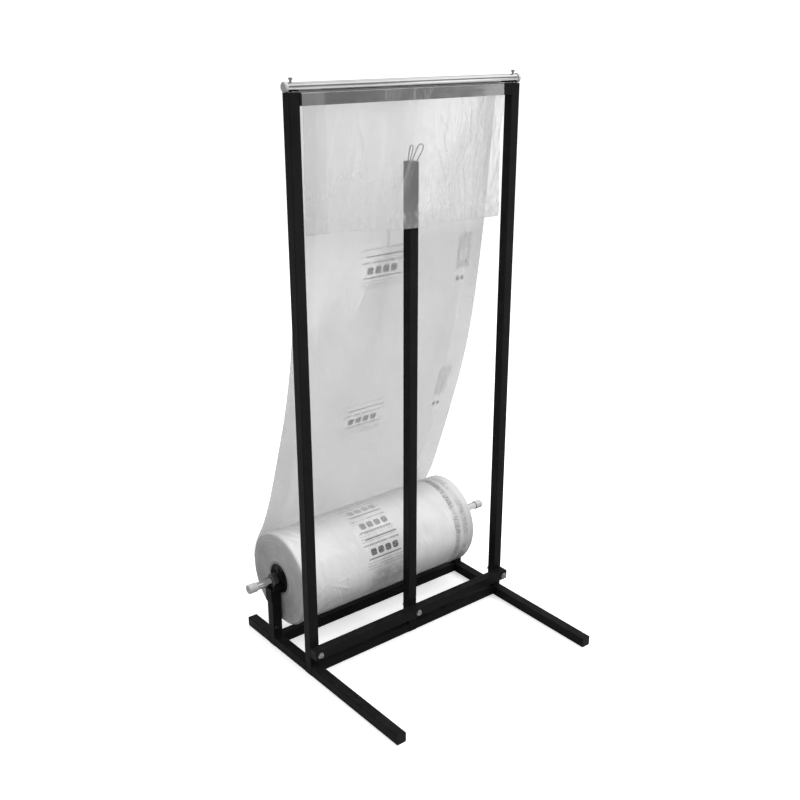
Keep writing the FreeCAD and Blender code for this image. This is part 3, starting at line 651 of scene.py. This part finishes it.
def sheet_path():
    """y, z of the film's inner side: off the roll, up behind, over the top, down in front."""
    on_roll = arc_points(SHAFT_Y, SHAFT_Z, WRAP_R, range(2, 29, 2))
    corner_z = TOP_Z - TUBE_CORNER
    bend_r = TUBE_CORNER + FILM_CLEAR
    rear = arc_points(TUBE - TUBE_CORNER, corner_z, bend_r, range(10, 91, 20))
    front = arc_points(TUBE_CORNER, corner_z, bend_r, range(90, 181, 15))
    return np.vstack([on_roll[:-1], catmull([on_roll[-1]] + RISE)[:-1], rear, front,
                      catmull([front[-1]] + FALL)[1:]])


def tube_section(wide_steps, fold_steps):
    """One turn round the flattened tube: inner side, right fold, outer side, left fold.

    Gives for each point the place across (0 left, 1 right), the depth into a fold (0 to 1),
    the side of the fold (1 right, -1 left) and the layer (0 inner side, 1 outer side).
    """
    flat = np.linspace(0, 1, wide_steps + 1)
    inward = np.concatenate([[0.006], np.linspace(0, 1, fold_steps)[1:]])
    depth = np.concatenate([inward, inward[::-1][1:]])
    half = 0.5 * inward ** 0.7
    climb = np.concatenate([half, 1 - half[::-1][1:]])
    across = np.concatenate([flat, 0 * depth + 1, flat[::-1], 0 * depth])
    fold_depth = np.concatenate([0 * flat, depth, 0 * flat, depth])
    side = np.concatenate([0 * flat, 0 * depth + 1, 0 * flat, 0 * depth - 1])
    layer = np.concatenate([0 * flat, climb, 0 * flat + 1, 1 - climb])
    return across, fold_depth, side, layer


def flap_relief(x, run, bend, total, rng):
    """How far the hanging flap stands out, mm, and how crumpled it is, 0 to 1."""
    u, v = x * MM, run / 1000.0
    top, end = bend / 1000.0, total / 1000.0
    relief = 1.7 * (sheet_noise(u, v, 7.5, 2.0, seed=31.0) + 0.35)
    relief += 1.1 * sheet_noise(u + 0.25 * v, v, 22.0, 4.5, seed=32.0)
    # long soft folds that hang from the bend, a few steep ones, and short pulls
    folds = [   # count, box, length, tilt, width, height
        (6, (-0.27, -0.20, top + 0.03, end - 0.09), 0.10, 0.06, 0.0040, 1.6),
        (10, (-0.19, 0.00, top + 0.02, end - 0.05), 0.070, 0.35, 0.0050, 0.6),
        (18, (0.01, 0.26, top + 0.03, end - 0.05), 0.11, 0.28, 0.0055, 1.3),
        (40, (0.00, 0.26, top + 0.03, end), 0.055, 0.60, 0.0038, 1.0),
        (34, (0.02, 0.25, top + 0.05, end - 0.02), 0.060, 0.85, 0.0034, 1.0)]
    for row in folds:
        relief += creases(u, v, rng, *row)
    # the lower right part and the hem are crumpled
    hem = ramp_up(run, total - 36, 6)
    right = ramp_up(x, 10.0, 70.0)
    crumple = right * ramp_up(run, bend + 150, 90) * 0.45 + hem * (0.22 + 0.78 * right)
    crumple = np.clip(crumple, 0, 1)
    rough = 1 - np.abs(sheet_noise(u, v, 42.0, 36.0, seed=41.0)) * 2.6
    relief += crumple * (1.2 * rough - 0.5)
    relief += hem * creases(u, v, rng, 90, (-0.28, 0.26, end - 0.04, end), 0.022, 0.9, 0.0026, 1.3)
    relief += hem * right * creases(u, v, rng, 60, (0.0, 0.26, end - 0.04, end),
                                    0.020, 0.9, 0.0024, 1.6)
    return np.clip(relief, -0.2, 6.5), crumple


def point_values(mesh, name, values, shape):
    attribute = mesh.attributes.new(name, "FLOAT", "POINT")
    spread = np.broadcast_to(values, shape).astype(np.float32)
    attribute.data.foreach_set("value", spread.ravel())


def make_sheet(rise_material, flap_material):
    rng = np.random.default_rng(11)
    path = sheet_path()
    length = np.concatenate([[0], np.cumsum(np.linalg.norm(np.diff(path, axis=0), axis=1))])
    leave_y, leave_z = LEAVES_ROLL
    start = length[np.argmin(np.abs(path[:, 0] - leave_y) + np.abs(path[:, 1] - leave_z))]
    bend = length[np.argmax(path[:, 1])]         # rear end of the run over the top member
    total = length[-1]

    # rows along the film, closest together over the bend
    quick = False
    rise_step, flap_step = (12.0, 6.0) if quick else (6.5, 2.6)
    along = np.concatenate([
        np.arange(0, bend - 45, rise_step), np.arange(bend - 45, bend - 8, 4.0),
        np.arange(bend - 8, bend + 34, 0.9), np.arange(bend + 34, total, flap_step), [total]])
    y = np.interp(along, length, path[:, 0])
    z = np.interp(along, length, path[:, 1])
    slope_y, slope_z = np.gradient(y, along), np.gradient(z, along)
    norm = np.hypot(slope_y, slope_z)
    out_y, out_z = slope_z / norm, -slope_y / norm       # outward side of the film
    flap = ramp_up(along, bend + 30, 12.0)               # 1 on the part that hangs in front
    fall = ramp_up(along, bend + 28, total - bend - 28)  # 0 to 1 down the flap
    web = ramp_up(along, 60, 160) * np.clip((bend - 60 - along) / 160, 0, 1)

    wide_steps = 96 if quick else 210
    fold_steps = 5 if quick else 9
    across, fold_depth, side, layer = tube_section(wide_steps, fold_steps)
    rows, points = len(along), len(across)
    run = np.repeat(along[:, None], points, 1)

    # outline: the flap narrows upward of its hem only slightly, and its edges waver
    left = ROLL_L - 5.0 * fall ** 1.5 + 1.6 * np.sin(fall * 9.0) * fall
    right = (ROLL_R - 7.5 * ramp_up(fall, 0.16, 0.14) ** 1.5
             + 1.4 * np.sin(fall * 8.0 + 1.0) * fall)
    gusset = GUSSET + 2.0 * np.sin(along / 170.0)
    x = left[:, None] + (right - left)[:, None] * across - side * fold_depth * gusset[:, None]
    # the lower edge of the flap isn't level
    level = z[:, None]
    stretch = (FALL_Z - np.interp(x, HEM_X, HEM_Z)) / (FALL_Z - z[-1])
    fitted = FALL_Z - (FALL_Z - level) * np.where(level < FALL_Z, stretch, 1.0)
    height = np.where(fall[:, None] > 0, fitted, level)

    # how far the two sides of the tube stand apart
    u, v = x / 1000.0, run / 1000.0
    gap = np.where(along < bend, 0.5 + 1.1 * web,
                   np.where(along < bend + 34, 0.5, 0.9 + 1.6 * np.clip(fall * 3, 0, 1)))
    over = np.exp(-((along - bend - 11.0) / 18.0) ** 2)
    gap = gap * (1 - over) + 0.62 * over
    bulge = 1 + 0.45 * sheet_noise(u, v, 9.0, 4.0, seed=3.0)
    centre = np.clip(1 - np.abs(across * 2 - 1) ** 6, 0.0, 1)
    offset = layer * (0.35 + (gap[:, None] - 0.35) * bulge * (0.35 + 0.65 * centre))

    # large shape and creases, the same for all layers
    from_middle = (x - (ROLL_L + ROLL_R) / 2) / ((ROLL_R - ROLL_L) / 2)
    shape = 0.5 + 4.5 * from_middle
    shape += 2.0 * sheet_noise(u, v, 5.0, 1.3, seed=21.0)
    shape += 0.35 * sheet_noise(u, v, 14.0, 3.0, seed=22.0)
    relief, crumple = flap_relief(x, run, bend, total, rng)
    shape += creases(u, v, rng, 30, (-0.27, 0.25, 0.12, bend / 1000 - 0.08),
                     length=0.09, tilt=0.55, width=0.007, height=0.55)
    shape = web[:, None] * shape
    shape += (flap * (0.35 + 0.65 * np.clip(fall * 4, 0, 1)))[:, None] * relief
    # on the roll the sheet follows the roll's own radius, and lets go of it over 60 mm
    on_roll = np.clip((start - run) / 25.0 + 0.4, 0, 1)
    hold = on_roll + (1 - on_roll) * np.clip((start + 60 - run) / 60, 0, 1)
    offset = offset + shape + hold * (roll_radius(x) - WRAP_R + 0.45)

    verts = np.stack([x, y[:, None] + out_y[:, None] * offset,
                      height + out_z[:, None] * offset], -1).reshape(-1, 3) * MM
    index = np.arange(rows * points).reshape(rows, points)
    following = np.roll(index, -1, axis=1)
    quads = np.stack([index[:-1], following[:-1], following[1:], index[1:]], -1).reshape(-1, 4)
    ob = new_object("film_sheet", verts, quads, [rise_material, flap_material])
    mesh = ob.data
    close_mesh(mesh, caps=(index[0][::-1], index[-1]))   # sealed ends

    uvs = np.stack([u, (run - start) / 1000.0], -1).reshape(-1, 2)
    corners = np.zeros(len(mesh.loops), int)
    uv_layer = mesh.uv_layers.new(name="film")
    mesh.loops.foreach_get("vertex_index", corners)
    uv_layer.data.foreach_set("uv", uvs[corners].astype(np.float32).ravel())
    point_values(mesh, "fold", fold_depth > 0.001, x.shape)
    point_values(mesh, "crumple", crumple * flap[:, None], x.shape)
    point_values(mesh, "outer", layer > 0.75, x.shape)

    # faces past the middle of the top member use the flap's material
    flat_run = run.ravel()
    mesh.polygons.foreach_set("material_index", [
        1 if flat_run[p.vertices[0]] > bend + 11 else 0 for p in mesh.polygons])
    # folded edges stay sharp
    outer_start = wide_steps + 2 * fold_steps
    sharp = {0, wide_steps, wide_steps + fold_steps, outer_start, outer_start + wide_steps,
             outer_start + wide_steps + fold_steps}
    for edge in mesh.edges:
        a, b = (i % points for i in edge.vertices)
        if a == b and a in sharp:
            edge.use_edge_sharp = True
    mesh.update()
    return ob


# ------------------------------------------------------------------ the wound roll
RIM = 6.0                        # radius of the roll's rounded edges, mm
RIM_X = np.array([0, 0.3, 1.0, 2.0, 3.2, 4.5])   # stations from the end across a rounded edge


def roll_end(x, outward, seed, rings):
    """x, radius of the rings on one end, from the rim to the core, each a little off flat."""
    uneven = np.random.default_rng(seed).normal(0, 0.22, rings + 1)
    outer = roll_radius(x) - RIM
    return [(x + outward * (-0.35 + uneven[k] - 0.8 * math.exp(-(k / 2.0))),
             outer + (CORE_R - outer) * k / rings) for k in range(1, rings)]


def make_roll(wound_material):
    rng = np.random.default_rng(5)
    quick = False
    wide_steps, turn_steps = (70, 96) if quick else (220, 300)
    rings = 24 if quick else 54
    xs = np.concatenate([ROLL_L + RIM_X, np.linspace(ROLL_L + RIM, ROLL_R - RIM, wide_steps - 11),
                         ROLL_R - RIM_X[::-1]])
    inset = np.clip(1 - np.minimum(xs - ROLL_L, ROLL_R - xs) / RIM, 0, 1)
    rng.normal(0, 1, rings + 1)  # unused draws that set where the creases' sequence begins
    profile = [(x, roll_radius(x) - RIM * (1 - math.sqrt(1 - k * k))) for x, k in zip(xs, inset)]
    profile += roll_end(ROLL_R, 1, 8, rings)
    profile += [(ROLL_R - 0.5, CORE_R), (ROLL_L + 0.5, CORE_R)]
    profile += roll_end(ROLL_L, -1, 9, rings)[::-1]
    profile = np.array(profile)
    count = len(profile)
    turn = np.linspace(0, 2 * math.pi, turn_steps, endpoint=False)
    x = np.repeat(profile[:, 0][:, None], turn_steps, 1)
    radius = np.repeat(profile[:, 1][:, None], turn_steps, 1)
    angle = np.repeat(turn[None, :], count, 0)
    on_side = (np.arange(count) <= wide_steps)[:, None]
    u, v = x / 1000.0, angle * (WRAP_R * MM)

    def ring_noise(scale_x, scale_round, seed):
        """Noise sampled on the circle, so that the pattern closes on itself."""
        coords = (u * scale_x, np.cos(angle) * scale_round, np.sin(angle) * scale_round)
        return fractal(coords, (seed, 0, 0), (0, 0, 0), octaves=2)

    # soft buckles of the outer turns, and creases, stronger left of the middle
    relief = 0.7 * ring_noise(14.0, 1.5, seed=3.0) + 0.45 * ring_noise(45.0, 2.2, seed=30.0)
    relief += creases(u + 0.15 * v, v, rng, 70, (-0.25, -0.01, 0.0, 0.729),
                      length=0.050, tilt=0.75, width=0.0027, height=1.5)
    relief += creases(u, v, rng, 26, (0.0, 0.25, 0.0, 0.729),
                      length=0.045, tilt=0.5, width=0.004, height=0.4)
    fade = ramp_up(x, ROLL_L, 14) * np.clip((ROLL_R - x) / 14, 0, 1)
    # the relief stays below the sheet that lies on the roll
    radius = radius + on_side * fade * (np.clip(relief, -1.6, 1.6) - 1.3)
    # the turns sag by up to 4 mm within 31 degrees of 239 degrees, low in front
    sag = 4.0 * np.cos(np.clip((np.degrees(angle) - 239.0) / 31.0, -1, 1) * math.pi / 2) ** 2
    radius = radius + sag * ramp_up(radius, CORE_R, WRAP_R - CORE_R) ** 1.5
    is_end = (~on_side) & (radius > CORE_R + 0.01)
    x = x + is_end * np.sign(x) * 0.30 * ring_noise(0.0, 0.8, seed=50.0)

    verts = np.stack([x, SHAFT_Y + radius * np.cos(angle), SHAFT_Z + radius * np.sin(angle)], -1)
    here = np.arange(count * turn_steps).reshape(count, turn_steps)
    beyond = np.roll(here, -1, axis=0)
    quads = np.stack([here, np.roll(here, -1, 1), np.roll(beyond, -1, 1), beyond], -1)
    ob = new_object("wound_film_roll", verts.reshape(-1, 3) * MM, quads.reshape(-1, 4),
                    [wound_material])
    mesh = ob.data
    close_mesh(mesh)
    # the two edges of the bore
    for edge in mesh.edges:
        a, b = (i // turn_steps for i in edge.vertices)
        if a == b and a in (wide_steps + rings, wide_steps + rings + 1):
            edge.use_edge_sharp = True
    mesh.update()
    return ob


# ------------------------------------------------------------------ weld seams
BEAD_HEIGHT = 0.9
BEAD_WIDE = 2.8                  # width of the beads along level edges
BEAD_STEP = 1.1
BEAD_POINTS = 7                  # points of the half-round section
BEAD_INSET = 2.4                 # a bead's ends from the tube's corners


def make_welds():
    """Low, rippled beads along the butt joints of the tubes."""
    rng = np.random.default_rng(2)
    verts, faces = [], []

    def bead(start, stop, outward, width=2.6):
        start, stop, outward = Vector(start), Vector(stop), Vector(outward).normalized()
        run = stop - start
        length = run.length
        run.normalize()
        across = run.cross(outward)
        steps = max(10, int(length / BEAD_STEP))
        base = len(verts)
        for i in range(steps + 1):
            t = i / steps
            taper = min(1.0, 6.0 * min(t, 1 - t) + 0.25)
            ripple = 1 + 0.16 * math.sin(i * 1.9) + rng.uniform(-0.07, 0.07)
            centre = start + run * (length * t) + across * rng.uniform(-0.12, 0.12)
            for k in range(BEAD_POINTS):
                angle = math.pi * k / (BEAD_POINTS - 1)
                sideways = math.cos(angle) * width * 0.5 * taper * ripple
                rise = math.sin(angle) * BEAD_HEIGHT * taper * ripple - 0.12
                verts.append((centre + across * sideways + outward * rise) * MM)
        for i in range(steps):
            first = base + i * BEAD_POINTS
            last = first + BEAD_POINTS - 1
            for a in range(first, last):
                faces.append((a, a + 1, a + 1 + BEAD_POINTS, a + BEAD_POINTS))
            faces.append((last, first, first + BEAD_POINTS, last + BEAD_POINTS))
        end = base + steps * BEAD_POINTS
        faces.append(tuple(range(base, base + BEAD_POINTS))[::-1])
        faces.append(tuple(range(end, end + BEAD_POINTS)))

    inset = BEAD_INSET
    for s in (-1, 1):
        outer, inner = s * POST_X, s * (POST_X - TUBE)
        low_x, high_x = sorted((outer, inner))
        # floor level: upright beads on the side faces, level ones on top
        for front in (0.0, REAR_Y):
            for y, way in ((front, -1), (front + TUBE, 1)):
                bead((outer, y, inset), (outer, y, TUBE - inset), (s, 0, 0))
                bead((low_x + inset, y + way * 0.3, TUBE + 0.2),
                     (high_x - inset, y + way * 0.3, TUBE + 0.2), (0, way, 1), BEAD_WIDE)
                if y in (0.0, REAR_Y + TUBE):
                    bead((inner, y, inset), (inner, y, TUBE - inset), (-s, 0, 0))
        # cross tubes and the top member against the posts
        for front, low in ((0, 0), (REAR_Y, 0), (0, TOP_Z - TUBE)):
            rear, high = front + TUBE, low + TUBE
            for y, way in ((front, -1), (rear, 1)):
                bead((inner, y, low + inset), (inner, y, high - inset), (-s * 0.2, way, 0))
            z, up = (low, -1) if low else (high, 1)
            bead((inner, front + inset, z), (inner, rear - inset, z), (-s, 0, up), BEAD_WIDE)
    for x, s in ((STUB_X, -1), (STUB_X + TUBE, 1)):
        bead((x, 0.0, inset), (x, 0.0, TUBE - inset), (s * 0.2, -1, 0))
        bead((x, TUBE, inset), (x, TUBE, TUBE - inset), (s * 0.2, 1, 0))
        bead((x, inset, TUBE), (x, TUBE - inset, TUBE), (s, 0, 1), BEAD_WIDE)
    return new_object("weld_seams", verts, faces, [MATS["black_paint"]])


# ------------------------------------------------------------------ build
MATS = {
    "black_paint": black_paint(),
    "black_plastic": black_plastic(),
    "chrome": chrome(),
    "pale_cap": pale_cap(),
    "zinc_plate": metal("bright_zinc", tone=(0.36, 0.50), rough=(0.22, 0.38)),
    "black_oxide": metal("black_oxide_steel", tone=(0.045, 0.075), rough=(0.34, 0.5)),
    "bearing_steel": metal("ground_bearing_steel", tone=(0.07, 0.14), rough=(0.26, 0.42),
                           grain_scale=900.0),
    "spring_wire": metal("galvanised_wire", tone=(0.30, 0.42), rough=(0.26, 0.42),
                         grain_scale=700.0),
    "core_board": core_board(),
}
for part in frame["record"]["subparts"]:
    ob = frame["nodes"][part["node"]]
    mat = MATS.get(part["material_slot"])
    if mat is not None:
        ob.data.materials.clear()
        ob.data.materials.append(mat)

# the rising part is the same film as the hanging part, painted darker (tone 0.58 against 0.98) as
# painted shade for the dimmer light behind the frame
rise_film = film(
    "hazy_film_rising", flap=False, opacity=0.40, fold_opacity=0.05, tone=0.58,
    streak_haze=0.22, haze_opacity=0.14, ridge_opacity=0.025,
    bump=0.12, gloss_rough=0.42, mirror=0.35, fold_mirror=0.1)
flap_film = film(
    "hazy_film_hanging", flap=True, opacity=0.148, fold_opacity=0.60, tone=0.98,
    streak_haze=0.6, haze_opacity=0.30, ridge_opacity=0.08,
    bump=0.36, gloss_rough=0.20, mirror=0.62, fold_mirror=0.45)
wound = wound_film()

sheet = make_sheet(rise_film, flap_film)
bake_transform(sheet)
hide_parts("film_web", "film_flap")

roll = make_roll(wound)
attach(roll, "roll")
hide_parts("film_roll")

welds = make_welds()
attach(welds, "frame")


# ------------------------------------------------------------------ floor, world, lights
def make_floor(radius=120.0, sides=64):
    mesh = bpy.data.meshes.new("floor")
    rim = [(radius * math.cos(2 * math.pi * i / sides),
            radius * math.sin(2 * math.pi * i / sides), 0) for i in range(sides)]
    mesh.from_pydata([(0, 0, 0)] + rim, [],
                     [(0, i + 1, (i + 1) % sides + 1) for i in range(sides)])
    mesh.materials.append(floor_material())
    ob = bpy.data.objects.new("floor", mesh)
    ob.location.z = -0.0005
    bpy.context.scene.collection.objects.link(ob)
    return ob


def brightness_ramp(g, height, stops):
    """Brightness against height; stops are (height, level), the first at 0, the last at 1."""
    node = g.node("ShaderNodeValToRGB", {0: height})
    elements = node.color_ramp.elements
    elements[0].color = (stops[0][1],) * 3 + (1,)
    elements[1].color = (stops[-1][1],) * 3 + (1,)
    for position, level in stops[1:-1]:
        elements.new(position).color = (level,) * 3 + (1,)
    return Value(g, node.outputs[0])


def make_world():
    world = bpy.data.worlds.new("studio")
    bpy.context.scene.world = world
    g = Graph(world, "ShaderNodeOutputWorld")
    x, y, height = g.value("ShaderNodeTexCoord", output="Generated").split()
    # what lights the object, and what its bright metal mirrors: a soft band overhead
    # between darker walls and ceiling
    soft = brightness_ramp(g, height, [
        (0.0, 0.50), (0.30, 0.82), (0.62, 1.12), (0.80, 1.25), (1.0, 1.30)])
    mirror = brightness_ramp(g, height, [
        (0.0, 0.24), (0.30, 0.22), (0.46, 0.36), (0.60, 1.10), (0.72, 1.35), (0.82, 0.75),
        (1.0, 0.40)])
    # brighter to the right and towards the front
    tilt = x * 0.30 + 0.92 + y * -0.10
    glossy, camera_ray = g.light_path("Is Glossy Ray", "Is Camera Ray")
    level = g.value("ShaderNodeMix", {0: glossy, 2: soft, 3: mirror}, data_type="FLOAT")
    lighting = g.value("ShaderNodeBackground", {"Strength": level * tilt})
    backdrop = g.value("ShaderNodeBackground", {"Color": (1, 1, 1, 1), "Strength": 1.32})
    g.finish(g.mix(camera_ray, lighting, backdrop))


def area(name, location, target, size, power, mirrored=False):
    light = bpy.data.lights.new(name, "AREA")
    light.shape = "RECTANGLE"
    light.size, light.size_y = size
    light.energy = power
    ob = bpy.data.objects.new(name, light)
    ob.location = location
    aim = Vector(target) - Vector(location)
    ob.rotation_euler = aim.to_track_quat("-Z", "Y").to_euler()
    ob.visible_glossy = mirrored
    bpy.context.scene.collection.objects.link(ob)
    return ob


def make_camera():
    data = bpy.data.cameras.new("camera")
    ob = bpy.data.objects.new("camera", data)
    bpy.context.scene.collection.objects.link(ob)
    # yaw from +Y towards +X, pitch downward, tip about the line of sight
    yaw, pitch, tip = math.radians(42.714), math.radians(22.549), math.radians(1.774)
    forward = Vector((math.sin(yaw) * math.cos(pitch), math.cos(yaw) * math.cos(pitch),
                      -math.sin(pitch)))
    level = Vector((math.cos(yaw), -math.sin(yaw), 0.0))
    upright = level.cross(forward)
    right = level * math.cos(tip) + upright * math.sin(tip)
    up = upright * math.cos(tip) - level * math.sin(tip)
    ob.rotation_mode = "QUATERNION"
    ob.rotation_quaternion = Matrix((right, up, -forward)).transposed().to_quaternion()
    ob.location = (-1.490075, -1.85765, 1.548975)
    data.sensor_width = 36.0
    data.lens = 48.2472
    data.shift_x, data.shift_y = -0.102175, 0.0411
    data.clip_start, data.clip_end = 0.05, 500.0
    bpy.context.scene.camera = ob


make_floor()
make_world()
area("key", (2.4, -2.6, 3.6), target=(0, 0.1, 0.7), size=(2.6, 2.0), power=78.0)
area("top", (-0.4, 0.4, 4.2), target=(0, 0.1, 0.5), size=(3.0, 3.0), power=24.0)
area("fill", (-0.8, -3.2, 3.2), target=(0, 0.0, 1.0), size=(2.4, 1.6), power=36.0)
area("rear", (0.9, 3.4, 2.4), target=(0, 0.1, 0.5), size=(2.6, 2.0), power=26.0)
strip = area("strip", (2.3, -2.5, 1.05), target=(0, 0.0, 1.1), size=(0.5, 1.7), power=2.2,
             mirrored=True)
strip.data.use_shadow = False
make_camera()
bpy.context.scene.view_settings.view_transform = "Standard"
